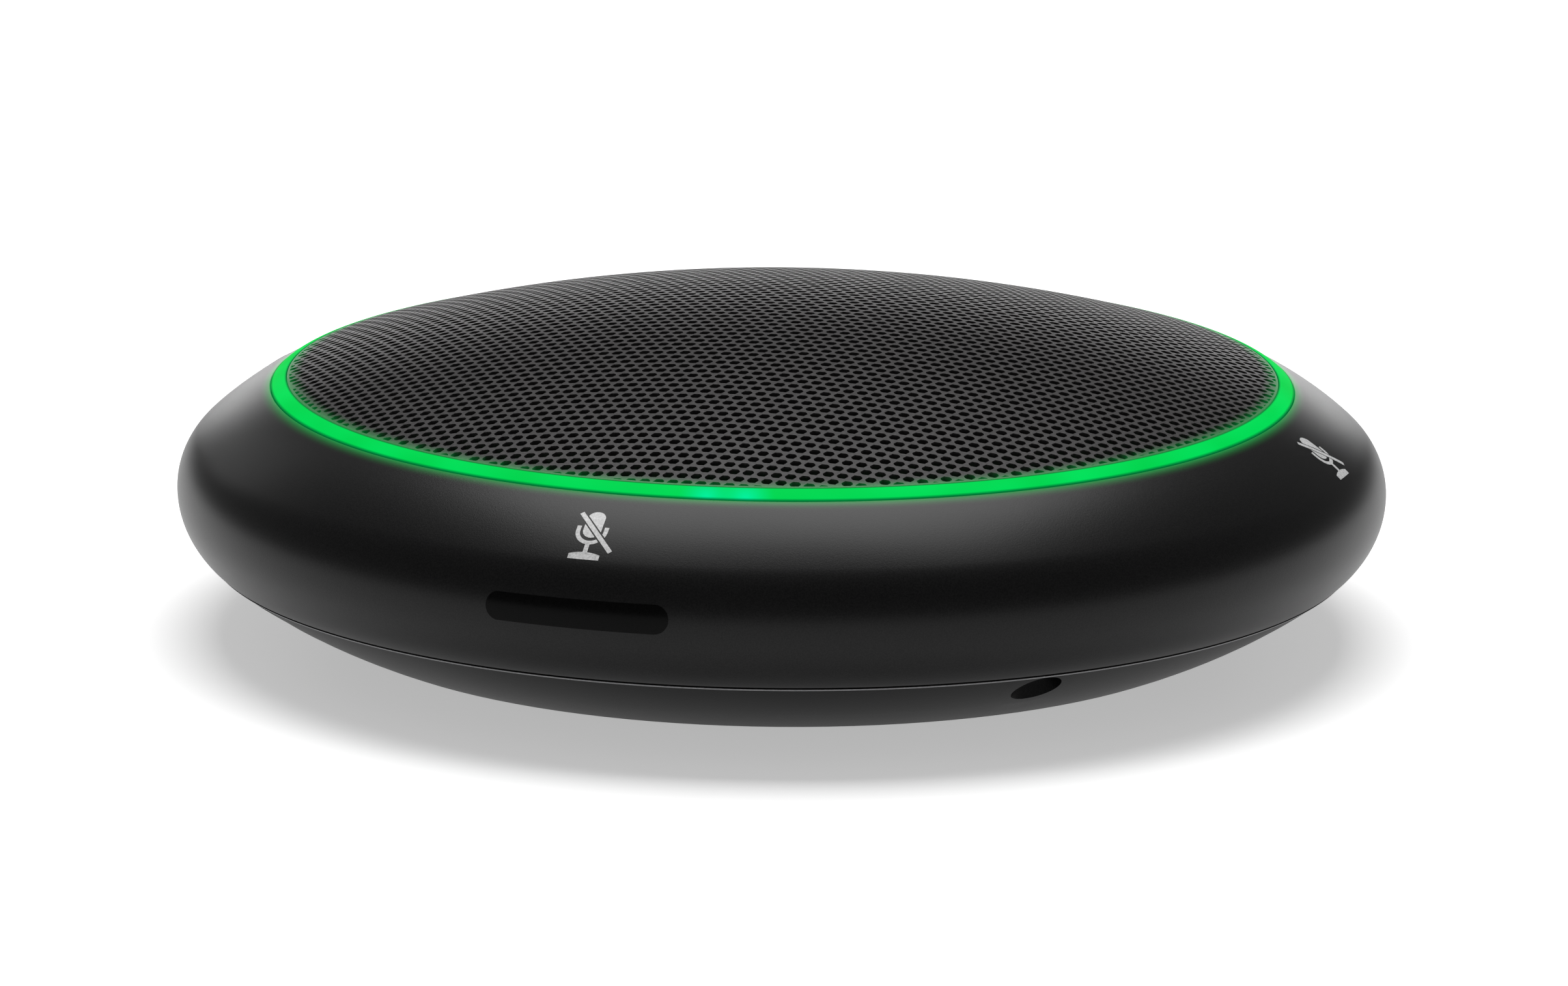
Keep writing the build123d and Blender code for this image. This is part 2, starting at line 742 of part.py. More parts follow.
with BuildPart() as power_inductors:
    with BuildSketch(Plane.XY.offset(board_bottom)):
        with Locations((power_circle, 8), (power_circle, -6)):
            RectangleRounded(inductor_size, inductor_size, 1.5)
    extrude(amount=-inductor_height)
save(power_inductors.part, "power_inductors")

with BuildPart() as capacitors:
    with BuildSketch(Plane.XY.offset(board_bottom)):
        with Locations((2 - power_circle, -8), (-power_circle - 5, -8), (-power_circle - 1, -16)):
            Circle(capacitor_radius)
    extrude(amount=-capacitor_height)
save(capacitors.part, "capacitors")

# Parts on top of the main board: the processor and its pad fill the shield can
with BuildPart() as processor:
    with BuildSketch(Plane.XY.offset(board_top)):
        Rectangle(processor_size, processor_size)
    extrude(amount=chip_height)
save(processor.part, "processor")

with BuildPart() as thermal_pad:
    with BuildSketch(Plane.XY.offset(board_top + chip_height)):
        Rectangle(thermal_pad_size, thermal_pad_size)
    extrude(amount=thermal_pad_height)
save(thermal_pad.part, "thermal_pad")

can_inside = chip_height + thermal_pad_height
can_opening = can_size - 2 * can_sheet
with BuildPart() as shield_can:
    with BuildSketch(Plane.XY.offset(board_top)):
        RectangleRounded(can_size, can_size, can_corner)
    extrude(amount=can_inside + can_sheet)
    with BuildSketch(Plane.XY.offset(board_top)):
        RectangleRounded(can_opening, can_opening, can_corner - can_sheet)
    extrude(amount=can_inside, mode=Mode.SUBTRACT)
save(shield_can.part, "shield_can")

with BuildPart() as memory_chips:
    with BuildSketch(Plane.XY.offset(board_top)):
        with GridLocations(memory_spacing, 1, 2, 1):
            Rectangle(memory_width, memory_length)
    extrude(amount=chip_height)
save(memory_chips.part, "memory_chips")

# Connector between the two boards, half on each
with BuildPart() as board_plug:
    with BuildSketch(Plane.XY.offset(board_top)):
        with Locations((0, connector_y)):
            Rectangle(connector_length, connector_width)
    extrude(amount=board_space / 2)
save(board_plug.part, "board_plug")

with BuildPart() as board_socket:
    with BuildSketch(Plane.XY.offset(mic_board_bottom)):
        with Locations((0, connector_y)):
            Rectangle(connector_length, connector_width)
    extrude(amount=-board_space / 2)
save(board_socket.part, "board_socket")

# Converter chips under the microphone board
with BuildPart() as audio_chips:
    with BuildSketch(Plane.XY.offset(mic_board_bottom)):
        with GridLocations(audio_spacing_x, audio_spacing_y, 2, 2):
            Rectangle(audio_chip_size, audio_chip_size)
    extrude(amount=-audio_chip_height)
save(audio_chips.part, "audio_chips")
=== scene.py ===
# %% [markdown]
# # A round conference microphone
# The object is a flat round unit for the middle of a table. A dark two-part shell holds a domed
# steel grille, and a green light ring runs between them. Four printed marks on the shoulder show
# where to touch it to mute it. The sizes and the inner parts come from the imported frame, and this
# script builds the skin that people see around them, in metres.

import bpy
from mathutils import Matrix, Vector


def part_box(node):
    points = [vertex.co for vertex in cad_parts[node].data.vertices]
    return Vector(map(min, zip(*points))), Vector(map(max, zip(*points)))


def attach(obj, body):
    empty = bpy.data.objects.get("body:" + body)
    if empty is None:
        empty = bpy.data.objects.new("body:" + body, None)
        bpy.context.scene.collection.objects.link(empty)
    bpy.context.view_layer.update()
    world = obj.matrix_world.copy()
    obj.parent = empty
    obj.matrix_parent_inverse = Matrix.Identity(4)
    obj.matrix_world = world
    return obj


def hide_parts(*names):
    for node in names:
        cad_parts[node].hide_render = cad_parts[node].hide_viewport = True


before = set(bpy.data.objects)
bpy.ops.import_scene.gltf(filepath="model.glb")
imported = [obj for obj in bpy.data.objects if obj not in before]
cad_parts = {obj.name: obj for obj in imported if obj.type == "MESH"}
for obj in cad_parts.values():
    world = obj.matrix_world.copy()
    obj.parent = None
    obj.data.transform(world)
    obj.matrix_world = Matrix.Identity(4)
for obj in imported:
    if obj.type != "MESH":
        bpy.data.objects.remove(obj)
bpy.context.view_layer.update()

# %% Tools and units
from math import atan2, cos, pi, radians, sin, sqrt, tau

import bmesh
import bpy
from mathutils import Matrix, Vector

mm = 0.001
shell_body = "housing"

# %% [markdown]
# ## The outline
# The shell is a turned shape, so one outline in the XZ plane describes it. The outline is four
# arcs that flow into each other: the underside, the belt below and above the widest circle, and
# the shoulder. Each arc starts in line with the skin before it, and that fixes its centre.

# %% Corners of the outline
ink_room = 0.045 * mm           # keeps the printed marks inside the frame's box
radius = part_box("upper_housing")[1][0] - ink_room
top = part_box("grille")[1][2]
base_height = 1.0 * mm
base_radius = radius - 16.7 * mm
seam_height = 8.5 * mm
seam_gap = 0.15 * mm
girth_height = 15.8 * mm
housing_wall = 2.2 * mm
ring_outer = radius - 10.4 * mm
ring_inner = ring_outer - 1.7 * mm
dome_edge = top - 8.05 * mm
shoulder_height = dome_edge - 0.95 * mm

girth = Vector((radius, girth_height))
seam = Vector((radius - 3.6 * mm, seam_height))
base = Vector((base_radius, base_height))
haunch = Vector((radius - 2.6 * mm, girth_height + 5.9 * mm))
shoulder = Vector((ring_outer, shoulder_height))


def arc_centre(start, outward, end):
    """Centre of the arc that leaves start square to outward and runs to end."""
    chord = end - start
    return start + outward * (chord.dot(chord) / (2 * chord.dot(outward)))


lower_centre = arc_centre(girth, Vector((1, 0)), seam)
upper_centre = arc_centre(girth, Vector((1, 0)), haunch)
seam_out = (seam - lower_centre).normalized()
haunch_out = (haunch - upper_centre).normalized()
under_centre = arc_centre(seam, seam_out, base)
shoulder_centre = arc_centre(haunch, haunch_out, shoulder)
lower_radius = (seam - lower_centre).length
upper_radius = (haunch - upper_centre).length
under_radius = (seam - under_centre).length
shoulder_radius = (shoulder - shoulder_centre).length
arcs = (under_radius, lower_radius, upper_radius, shoulder_radius)
print("arcs in mm", [round(reach / mm, 2) for reach in arcs])

# %% [markdown]
# ## Shader maths
# A finish is a small network of nodes. Writing it as arithmetic keeps it short, so a wrapped
# socket here takes part in sums and products, and each sum adds one Math node.

# %% A socket that can be used in sums
class Value:
    """A node's output that can be used in arithmetic."""

    def __init__(self, socket, finish):
        self.socket = socket
        self.finish = finish

    def maths(self, operation, first, second=0.0):
        """Adds one Math node."""
        return self.finish.node("ShaderNodeMath", {"operation": operation}, {0: first, 1: second})

    def __add__(self, other):
        return self.maths("ADD", self, other)

    def __sub__(self, other):
        return self.maths("SUBTRACT", self, other)

    def __rsub__(self, other):
        return self.maths("SUBTRACT", other, self)

    def __mul__(self, other):
        return self.maths("MULTIPLY", self, other)

    def __truediv__(self, other):
        return self.maths("DIVIDE", self, other)

    def __pow__(self, other):
        return self.maths("POWER", self, other)

    __radd__ = __add__
    __rmul__ = __mul__


class Finish:
    """One material with its Principled shader."""

    def __init__(self, name, colour, roughness, metallic=0.0, **fixed):
        self.material = bpy.data.materials.new(name)
        self.material.use_nodes = True
        self.tree = self.material.node_tree
        self.tree.nodes.clear()
        self.shader = self.tree.nodes.new("ShaderNodeBsdfPrincipled")
        output = self.tree.nodes.new("ShaderNodeOutputMaterial")
        self.tree.links.new(self.shader.outputs[0], output.inputs["Surface"])
        self.give("Base Color", colour)
        self.give("Roughness", roughness)
        self.give("Metallic", metallic)
        for socket, value in fixed.items():
            self.give(socket.replace("_", " "), value)
        self.place = self.node("ShaderNodeTexCoord", output="Object")

    def node(self, kind, settings=None, inputs=None, output=0):
        """Adds a node: its settings first, then the values or links of its sockets."""
        made = self.tree.nodes.new(kind)
        for key, value in (settings or {}).items():
            if key == "stops":
                ramp = made.color_ramp
                while len(ramp.elements) < len(value):
                    ramp.elements.new(1.0)
                for element, (position, colour) in zip(ramp.elements, value):
                    element.position = position
                    element.color = (*colour, 1.0)
            else:
                setattr(made, key, value)
        for key, value in (inputs or {}).items():
            if isinstance(value, Value):
                self.tree.links.new(value.socket, made.inputs[key])
            else:
                made.inputs[key].default_value = value
        return Value(made.outputs[output], self)

    def give(self, socket, value):
        """Sets or links one input of the Principled shader."""
        target = self.shader.inputs[socket]
        if isinstance(value, Value):
            self.tree.links.new(value.socket, target)
        elif isinstance(value, tuple) and len(value) == 3:
            target.default_value = (*value, 1.0)
        else:
            target.default_value = value

    def noise(self, grain, detail=2.0, roughness=0.5, stretch=None):
        """Noise from 0 to 1 whose spots are about grain metres across."""
        place = self.place
        if stretch:
            settings = {"operation": "MULTIPLY"}
            place = self.node("ShaderNodeVectorMath", settings, {0: place, 1: stretch})
        sizes = {"Vector": place, "Scale": 1 / grain, "Detail": detail, "Roughness": roughness}
        return self.node("ShaderNodeTexNoise", {"noise_dimensions": "3D"}, sizes)

    def ramp(self, factor, *stops):
        """Turns a value into a colour between stops of (position, colour)."""
        return self.node("ShaderNodeValToRGB", {"stops": stops}, {"Fac": factor})

    def mix(self, factor, first, second, blend="MIX"):
        """Mixes two colours."""
        colours = {0: factor}
        for index, colour in ((6, first), (7, second)):
            colours[index] = colour if isinstance(colour, Value) else (*colour, 1.0)
        settings = {"data_type": "RGBA", "blend_type": blend}
        return self.node("ShaderNodeMix", settings, colours, output=2)

    def range(self, value, low, high, to_low=0.0, to_high=1.0):
        """Moves a value from one range to another, and stops it at the ends."""
        ends = {"Value": value, 1: low, 2: high, 3: to_low, 4: to_high}
        return self.node("ShaderNodeMapRange", {"clamp": True}, ends)

    def bump(self, height, distance, strength=1.0):
        """Feeds a height from 0 to 1, times distance in metres, to the normal."""
        sizes = {"Height": height, "Distance": distance, "Strength": strength}
        self.give("Normal", self.node("ShaderNodeBump", {}, sizes))

    def axes(self):
        """The x, y and z of the surface, in metres."""
        split = self.node("ShaderNodeSeparateXYZ", {}, {0: self.place})
        outputs = split.socket.node.outputs
        return [Value(outputs[index], self) for index in range(3)]

    def from_axis(self):
        """Distance from the vertical axis, in metres."""
        x, y, _ = self.axes()
        return (x * x + y * y) ** 0.5


# %% [markdown]
# ## Finishes
# The shell is soft-touch plastic: nearly black, with a fine grain that breaks the light into a
# satin sheen. The grain is a bump of a few microns, and slow noise in the roughness
# keeps large areas from looking computed. Near the light ring the plastic picks up a narrow green
# glow, which is painted as a faint emission that fades with the distance from the ring.

# %% Soft-touch plastic of the shell
black = (0.0, 0.0, 0.0)
glow_green = (0.0, 0.55, 0.09)
shell_roughness = 0.29
shell_glow_reach = 1.5 * mm
shell_glow_falloff = 2.5
shell_glow_strength = 0.6


def soft_touch(name, tone, gloss, glow):
    """Nearly black satin plastic with a fine speckle."""
    finish = Finish(name, (tone, tone, tone), shell_roughness, Specular_IOR_Level=gloss)
    speckle = finish.noise(0.16 * mm, detail=1.0)
    cloud = finish.noise(22 * mm)
    light = (tone * 1.5, tone * 1.48, tone * 1.5)
    dark = (tone * 0.7, tone * 0.7, tone * 0.74)
    finish.give("Base Color", finish.ramp(speckle, (0.35, dark), (0.65, light)))
    finish.give("Roughness", shell_roughness + speckle * 0.06 + cloud * 0.05)
    finish.bump(speckle, 0.006 * mm)
    if glow:
        away = finish.from_axis() - ring_outer
        fade = finish.range(away, 0.0, shell_glow_reach, 1.0, 0.0) ** shell_glow_falloff
        finish.give("Emission Color", finish.mix(fade, black, glow_green))
        finish.give("Emission Strength", shell_glow_strength)
    return finish.material


housing_plastic = soft_touch("housing_soft_touch", 0.005, 0.19, True)
cover_plastic = soft_touch("cover_soft_touch", 0.004, 0.05, False)
print("shell finishes", housing_plastic.name, cover_plastic.name)

# %% [markdown]
# The grille is steel with a powder coat. Powder coat has a low orange-peel texture, wider than the
# grain of the plastic, and it wears lighter on the crests between the holes.

# %% Powder-coated steel
coat_dark = (0.034, 0.0318, 0.0322)
coat_light = (0.064, 0.0600, 0.0610)
coat_grime = (0.013, 0.0125, 0.013)
coat_roughness = 0.40
grille_glow_reach = 1.9 * mm
grille_glow_falloff = 2.0
grille_glow_strength = 0.4


def powder_coat(name):
    """Dark grey paint with a light orange-peel surface."""
    finish = Finish(name, coat_dark, coat_roughness, Specular_IOR_Level=0.25)
    peel = finish.noise(0.35 * mm, detail=2.0)
    grime = finish.noise(9 * mm, detail=3.0)
    coat = finish.ramp(peel, (0.3, coat_dark), (0.7, coat_light))
    finish.give("Base Color", finish.mix(grime * 0.25, coat, coat_grime))
    finish.give("Roughness", coat_roughness + peel * 0.1)
    finish.bump(peel, 0.012 * mm)
    # painted light: a faint green emission near the ring stands in for the ring's light falling on
    # the grille
    inside = ring_inner - finish.from_axis()
    fade = finish.range(inside, 0.0, grille_glow_reach, 1.0, 0.0) ** grille_glow_falloff
    finish.give("Emission Color", finish.mix(fade, black, glow_green))
    finish.give("Emission Strength", grille_glow_strength)
    return finish.material


grille_paint = powder_coat("grille_powder_coat")
print("grille finish", grille_paint.name)

# %% [markdown]
# The light ring is a milky light guide with lamps under it. It is brightest along its middle and
# falls off at both edges, where less of the guide lies behind the surface. Two lamps near the
# front are bluer than the rest, and they show as two soft spots.

# %% Light guide
spot_angles = (10.6, 14.8)      # degrees from the front towards +X
guide_plastic = (0.0, 0.05, 0.012)
guide_edge = (0.0, 0.12, 0.03)
between_lamps = (0.0, 0.58, 0.055)
over_lamps = (0.0, 0.74, 0.105)
spot_colour = (0.0, 0.86, 0.36)
guide_roughness = 0.65
edge_share = 0.42               # how far in from its edges the band stays dim


def light_guide(name):
    """Glowing milky plastic, darker at the edges of the band."""
    finish = Finish(name, guide_plastic, guide_roughness, Specular_IOR_Level=0.012)
    x, y, _ = finish.axes()
    across = (finish.from_axis() - ring_inner) / (ring_outer - ring_inner)
    middle = 1 - (across - 0.5) * (across - 0.5) * 4.0
    body = finish.range(middle, 0.0, edge_share)
    lamps = finish.noise(6 * mm, detail=0.0)
    green = finish.mix(lamps, between_lamps, over_lamps)
    for angle in spot_angles:
        spot_x = ring_outer * sin(radians(angle))
        spot_y = -ring_outer * cos(radians(angle))
        near = ((x - spot_x) * (x - spot_x) + (y - spot_y) * (y - spot_y)) ** 0.5
        spot = finish.range(near, 0.3 * mm, 3.2 * mm, 0.9, 0.0) ** 1.5
        green = finish.mix(spot, green, spot_colour)
    finish.give("Emission Color", finish.mix(body, guide_edge, green))
    finish.give("Emission Strength", 1.0)
    grain = finish.noise(0.5 * mm)
    finish.give("Roughness", guide_roughness + grain * 0.1)
    return finish.material


ring_light = light_guide("ring_light_guide")
print("ring finish", ring_light.name)

# %% [markdown]
# The other finishes are simpler, and most of them are on parts inside the shell. Two makers cover
# them: one for moulded or painted parts, where the grain moves the colour a little, and one for
# metals, where fine stretched noise moves the roughness like the marks of a tool.

# %% Moulded and metal finishes
def moulded(name, colour, roughness, grain=0.4 * mm, depth=0.01 * mm, **fixed):
    """Plastic, rubber, paper or paint with a fine even grain."""
    finish = Finish(name, colour, roughness, **fixed)
    spots = finish.noise(grain, detail=3.0)
    darker = tuple(0.72 * part for part in colour)
    lighter = tuple(min(1.0, 1.22 * part) for part in colour)
    finish.give("Base Color", finish.ramp(spots, (0.3, darker), (0.7, lighter)))
    finish.give("Roughness", roughness - 0.05 + spots * 0.1)
    finish.bump(spots, depth)
    return finish.material


def metal(name, colour, roughness, stretch=(1.0, 1.0, 12.0)):
    """Bare metal with fine tool marks."""
    finish = Finish(name, colour, roughness, metallic=1.0)
    marks = finish.noise(0.6 * mm, detail=4.0, stretch=stretch)
    worn = tuple(0.8 * part for part in colour)
    finish.give("Base Color", finish.mix(marks, worn, colour))
    finish.give("Roughness", roughness - 0.08 + marks * 0.2)
    finish.bump(marks, 0.004 * mm)
    return finish.material


finishes = {
    # painted highlight: light grey for the bead on the cover's edge, in place of the line of light
    # the edge catches
    "painted_highlight": moulded("edge_painted_highlight", (0.15, 0.15, 0.155), 0.35, 0.3 * mm, 0.004 * mm),
    "ink_white": moulded("mark_ink", (0.66, 0.66, 0.66), 0.34, 0.25 * mm, 0.002 * mm),
    "ink_black": moulded(
        "badge_ink", (0.002, 0.002, 0.002), 0.2, 0.3 * mm, 0.001 * mm, Specular_IOR_Level=0.06
    ),
    "foam": moulded("open_foam", (0.012, 0.012, 0.012), 0.95, 0.7 * mm, 0.3 * mm),
    "rubber": moulded("foot_rubber", (0.018, 0.018, 0.018), 0.75, 0.3 * mm, 0.02 * mm),
    "inner": moulded("inner_plastic", (0.03, 0.03, 0.032), 0.5),
    "boot": moulded("boot_rubber", (0.03, 0.03, 0.03), 0.8),
    "board": moulded("solder_mask", (0.008, 0.06, 0.03), 0.3, 1.2 * mm, 0.01 * mm),
    "chip": moulded("chip_epoxy", (0.014, 0.014, 0.015), 0.55, 0.2 * mm),
    "ferrite": moulded("ferrite_grey", (0.035, 0.035, 0.038), 0.6, 0.5 * mm),
    "socket": moulded("socket_plastic", (0.012, 0.012, 0.013), 0.32, 0.3 * mm),
    "button": moulded("button_grey", (0.55, 0.55, 0.56), 0.35, 0.3 * mm),
    "label": moulded("label_paper", (0.62, 0.62, 0.6), 0.6, 0.15 * mm),
    "pad": moulded("thermal_pad", (0.4, 0.42, 0.5), 0.7),
    "lamp": moulded("lamp_clear", (0.8, 0.85, 0.8), 0.2),
    "cast": metal("ballast_cast", (0.32, 0.32, 0.33), 0.6, (1.0, 1.0, 1.0)),
    "steel": metal("plated_steel", (0.62, 0.62, 0.64), 0.28),
    "black_steel": metal("screw_black", (0.045, 0.045, 0.05), 0.4),
    "brass": metal("turned_brass", (0.78, 0.56, 0.25), 0.3),
    "gold": metal("contact_gold", (0.95, 0.68, 0.28), 0.22),
    "can": metal("can_aluminium", (0.72, 0.72, 0.74), 0.3),
}
print("finishes", len(finishes))

# %% [markdown]
# ## Building pieces
# Every new piece starts as a bmesh. A turned piece starts as one corner of its section, which
# grows along lines and arcs, and the closed section is then spun around the vertical axis.
# Sharp rims get a small bevel, because a real moulded edge always catches a line of light. The
# open edges of a sheet are marked sharp, so that its flat cut wall isn't shaded as round.

# %% Helpers for turned pieces
def line_to(mesh, corner, x, z):
    """Grows the section with a straight edge."""
    made = bmesh.ops.extrude_vert_indiv(mesh, verts=[corner])["verts"][0]
    made.co = (x, 0, z)
    return made


def arc_to(mesh, corner, centre, end, steps):
    """Grows the section along an arc about centre, up to the direction of end."""
    begin = atan2(corner.co.z - centre.y, corner.co.x - centre.x)
    finish = atan2(end.y - centre.y, end.x - centre.x)
    turn = (finish - begin + pi) % tau - pi
    swept = bmesh.ops.spin(
        mesh, geom=[corner], cent=(centre.x, 0, centre.y), axis=(0, 1, 0), angle=-turn, steps=steps
    )
    return [part for part in swept["geom_last"] if isinstance(part, bmesh.types.BMVert)][0]


def start_section(x, z):
    """New mesh with the first corner of a section."""
    mesh = bmesh.new()
    return mesh, mesh.verts.new((x, 0, z))


def spin_section(mesh, steps=288):
    """Spins the section around the vertical axis and points its faces outwards."""
    geometry = mesh.verts[:] + mesh.edges[:]
    bmesh.ops.spin(
        mesh, geom=geometry, cent=(0, 0, 0), axis=(0, 0, 1), angle=tau, steps=steps, use_merge=True
    )
    bmesh.ops.remove_doubles(mesh, verts=mesh.verts, dist=0.002 * mm)
    bmesh.ops.recalc_face_normals(mesh, faces=mesh.faces)


def soften(mesh, width, segments=3, angle=35):
    """Bevels the edges that are sharper than the angle."""
    edges = [
        edge
        for edge in mesh.edges
        if len(edge.link_faces) == 2 and edge.calc_face_angle() > radians(angle)
    ]
    bmesh.ops.bevel(
        mesh, geom=edges, offset=width, offset_type="OFFSET", affect="EDGES",
        segments=segments, profile=0.5, material=-1, clamp_overlap=True,
    )


sharp_angle = 38


def make_piece(mesh, name, material, replaces=(), sharp=sharp_angle):
    """Turns a bmesh into a finished piece that rides on the housing."""
    for face in mesh.faces:
        face.smooth = True
    mesh.edges.index_update()
    border = [edge.index for edge in mesh.edges if edge.is_boundary]
    data = bpy.data.meshes.new(name)
    mesh.to_mesh(data)
    mesh.free()
    data.set_sharp_from_angle(angle=radians(sharp))
    for edge in border:
        data.edges[edge].use_edge_sharp = True
    data.materials.append(material)
    piece = bpy.data.objects.new(name, data)
    bpy.context.scene.collection.objects.link(piece)
    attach(piece, shell_body)
    for node in replaces:
        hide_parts(node)
    print(name, "faces", len(data.polygons))
    return piece


print("each sharp edge turns by more than", sharp_angle, "degrees")

# %% [markdown]
# ## Upper housing
# The housing is the wide belt of the object. Its outer skin follows the outline from the ring's
# opening down to the parting line, and the inner skin runs back up at the wall's thickness, so
# the piece is a closed shell. The step under the opening is where the light ring's flange sits.

# %% Spin the housing
close_fit = 0.05 * mm
opening = ring_outer + close_fit
step_radius = ring_outer + 1.6 * mm
lip_underside = shoulder_height - 2.15 * mm
cut_height = seam_height + seam_gap
edge_round = 0.18 * mm
foot_step = 0.6 * mm            # flat inner wall above the cut
step_depth = 0.9 * mm           # flat wall under the opening's step


def on_arc(centre, reach, height):
    """Point of an arc at a height, on its outer side."""
    drop = height - centre.y
    return Vector((centre.x + sqrt(reach * reach - drop * drop), height))


def shoulder_height_at(away):
    """Height of the shoulder's skin at a distance from the axis."""
    return shoulder_centre.y + sqrt(shoulder_radius ** 2 - (away - shoulder_centre.x) ** 2)


mesh, corner = start_section(opening, shoulder_height_at(opening))
first = corner
corner = arc_to(mesh, corner, shoulder_centre, haunch, 12)
corner = arc_to(mesh, corner, upper_centre, girth, 14)
corner = arc_to(mesh, corner, lower_centre, on_arc(lower_centre, lower_radius, cut_height), 14)
inner_foot = on_arc(lower_centre, lower_radius - housing_wall, cut_height + foot_step)
corner = line_to(mesh, corner, inner_foot.x, cut_height)
corner = line_to(mesh, corner, inner_foot.x, inner_foot.y)
corner = arc_to(mesh, corner, lower_centre, girth, 8)
corner = arc_to(mesh, corner, upper_centre, haunch, 8)
inner_end = Vector((step_radius, lip_underside - step_depth))
corner = arc_to(mesh, corner, shoulder_centre, inner_end, 5)
corner = line_to(mesh, corner, step_radius, lip_underside)
corner = line_to(mesh, corner, opening, lip_underside)
mesh.edges.new((corner, first))
spin_section(mesh)
soften(mesh, edge_round)
housing = make_piece(mesh, "housing_shell", housing_plastic, ["upper_housing"])

# %% [markdown]
# The case screws go up through deep round holes, and those holes also bite into the foot of the
# housing. A Boolean is the clearest way to cut them: four plain cylinders are taken away, and the
# result is written back into the piece, so that no live modifier is left.

# %% Cut the counterbores
screw_circle = radius - 6.6 * mm
counterbore_radius = 2.65 * mm
counterbore_top = 11.0 * mm


def write_back(piece, modifier):
    """Applies the piece's one modifier to its mesh."""
    shape = piece.evaluated_get(bpy.context.evaluated_depsgraph_get())
    old = piece.data
    piece.data = bpy.data.meshes.new_from_object(shape)
    piece.modifiers.remove(modifier)
    piece.data.name = old.name
    bpy.data.meshes.remove(old)


def cut_away(piece, mesh):
    """Takes a closed bmesh away from a piece."""
    data = bpy.data.meshes.new("cutter")
    mesh.to_mesh(data)
    mesh.free()
    cutter = bpy.data.objects.new("cutter", data)
    bpy.context.scene.collection.objects.link(cutter)
    modifier = piece.modifiers.new("cut", "BOOLEAN")
    modifier.operation = "DIFFERENCE"
    modifier.solver = "EXACT"
    modifier.object = cutter
    bpy.context.view_layer.update()
    write_back(piece, modifier)
    bpy.data.objects.remove(cutter)
    bpy.data.meshes.remove(data)
    piece.data.set_sharp_from_angle(angle=radians(sharp_angle))
    print(piece.name, "after the cut has faces", len(piece.data.polygons))


def place_at(x, y, z):
    """A move, as the matrix that the operators take."""
    return Matrix.Translation((x, y, z))


bores = bmesh.new()
for quarter in range(4):
    angle = radians(45 + 90 * quarter)
    spot = place_at(screw_circle * cos(angle), screw_circle * sin(angle), counterbore_top / 2)
    bmesh.ops.create_cone(
        bores, cap_ends=True, cap_tris=False, segments=48, radius1=counterbore_radius,
        radius2=counterbore_radius, depth=counterbore_top, matrix=spot,
    )
cut_away(housing, bores)

# %% [markdown]
# The cover below the parting line comes from the frame. A very small turned bead follows its upper
# edge where the two halves meet, and its light grey colour is a painted highlight: it reads as a
# fine lighter line under the dark gap.

# %% Spin the parting edge
bead_height = 0.22 * mm
bead_width = 0.3 * mm
bead_crown = 0.02 * mm          # its inner side stands this much higher
bead_reach = under_radius + ink_room + 0.02 * mm    # just proud of the cover's own skin
bead_top = on_arc(under_centre, bead_reach, seam_height)
bead_low = on_arc(under_centre, bead_reach, seam_height - bead_height)
mesh, corner = start_section(bead_low.x, bead_low.y)
first = corner
corner = line_to(mesh, corner, bead_top.x, bead_top.y)
corner = line_to(mesh, corner, bead_top.x - bead_width, seam_height + bead_crown)
corner = line_to(mesh, corner, bead_low.x - bead_width, bead_low.y)
mesh.edges.new((corner, first))
spin_section(mesh)
soften(mesh, 0.05 * mm, segments=2)
# the bead's light grey colour is a painted highlight along the cover's edge
make_piece(mesh, "parting_edge", finishes["painted_highlight"])

# %% [markdown]
# ## Light ring
# The ring is one turned strip of milky plastic. Its visible face climbs from the shoulder up to
# the grille and bulges slightly, and a flange under the housing's edge holds it down.

# %% Spin the light ring
fine_steps = 320
flange_radius = ring_outer + 1.4 * mm
flange_top = lip_underside - close_fit
board_top = flange_top - 1.7 * mm
bulge = 0.16 * mm
ring_start = Vector((ring_inner, dome_edge))
ring_face = shoulder - ring_start
face_out = Vector((-ring_face.y, ring_face.x)).normalized()
face_radius = (ring_face.length ** 2 / 4 + bulge * bulge) / (2 * bulge)
bulge_centre = (ring_start + shoulder) / 2 + face_out * (bulge - face_radius)

mesh, corner = start_section(ring_start.x, ring_start.y)
first = corner
corner = arc_to(mesh, corner, bulge_centre, shoulder, 8)
corner = line_to(mesh, corner, ring_outer, flange_top)
corner = line_to(mesh, corner, flange_radius, flange_top)
corner = line_to(mesh, corner, flange_radius, board_top)
corner = line_to(mesh, corner, ring_inner, board_top)
mesh.edges.new((corner, first))
spin_section(mesh, steps=fine_steps)
soften(mesh, 0.1 * mm, segments=2)
make_piece(mesh, "light_band", ring_light, ["light_ring"])

# %% [markdown]
# ## Grille
# The grille is one domed sheet with over four thousand round holes on a triangular lattice. The
# lattice comes from a grid whose squares are cut into triangles and sheared, until each row lies
# half a pitch beside the next. A vertex bevel opens a small polygon at every lattice point, the
# polygon is deleted, and its corners move onto an exact circle. What is left is a flat perforated
# sheet. Pressing it onto the sphere and giving it a thickness comes last. The holes run right up
# to the edge and are partly cut there, so the points beyond the rim are pulled back onto it.

# %% Flat perforated sheet
pitch = 1.5 * mm
row_step = 1.43 * mm
hole_radius = 0.6 * mm
lattice_turn = radians(8.1)
sheet_thickness = 0.6 * mm
hole_middle = 0.05 * mm         # a corner this near a lattice point is a hole's middle
grille_rim = ring_inner - close_fit
field_rim = grille_rim - 0.16 * mm
dome_radius = (grille_rim ** 2 + (top - dome_edge) ** 2) / (2 * (top - dome_edge))
dome_centre = top - dome_radius
lattice = Matrix.Rotation(lattice_turn, 2) @ Matrix(((pitch, pitch / 2), (0, row_step)))
lattice_inverse = lattice.inverted()


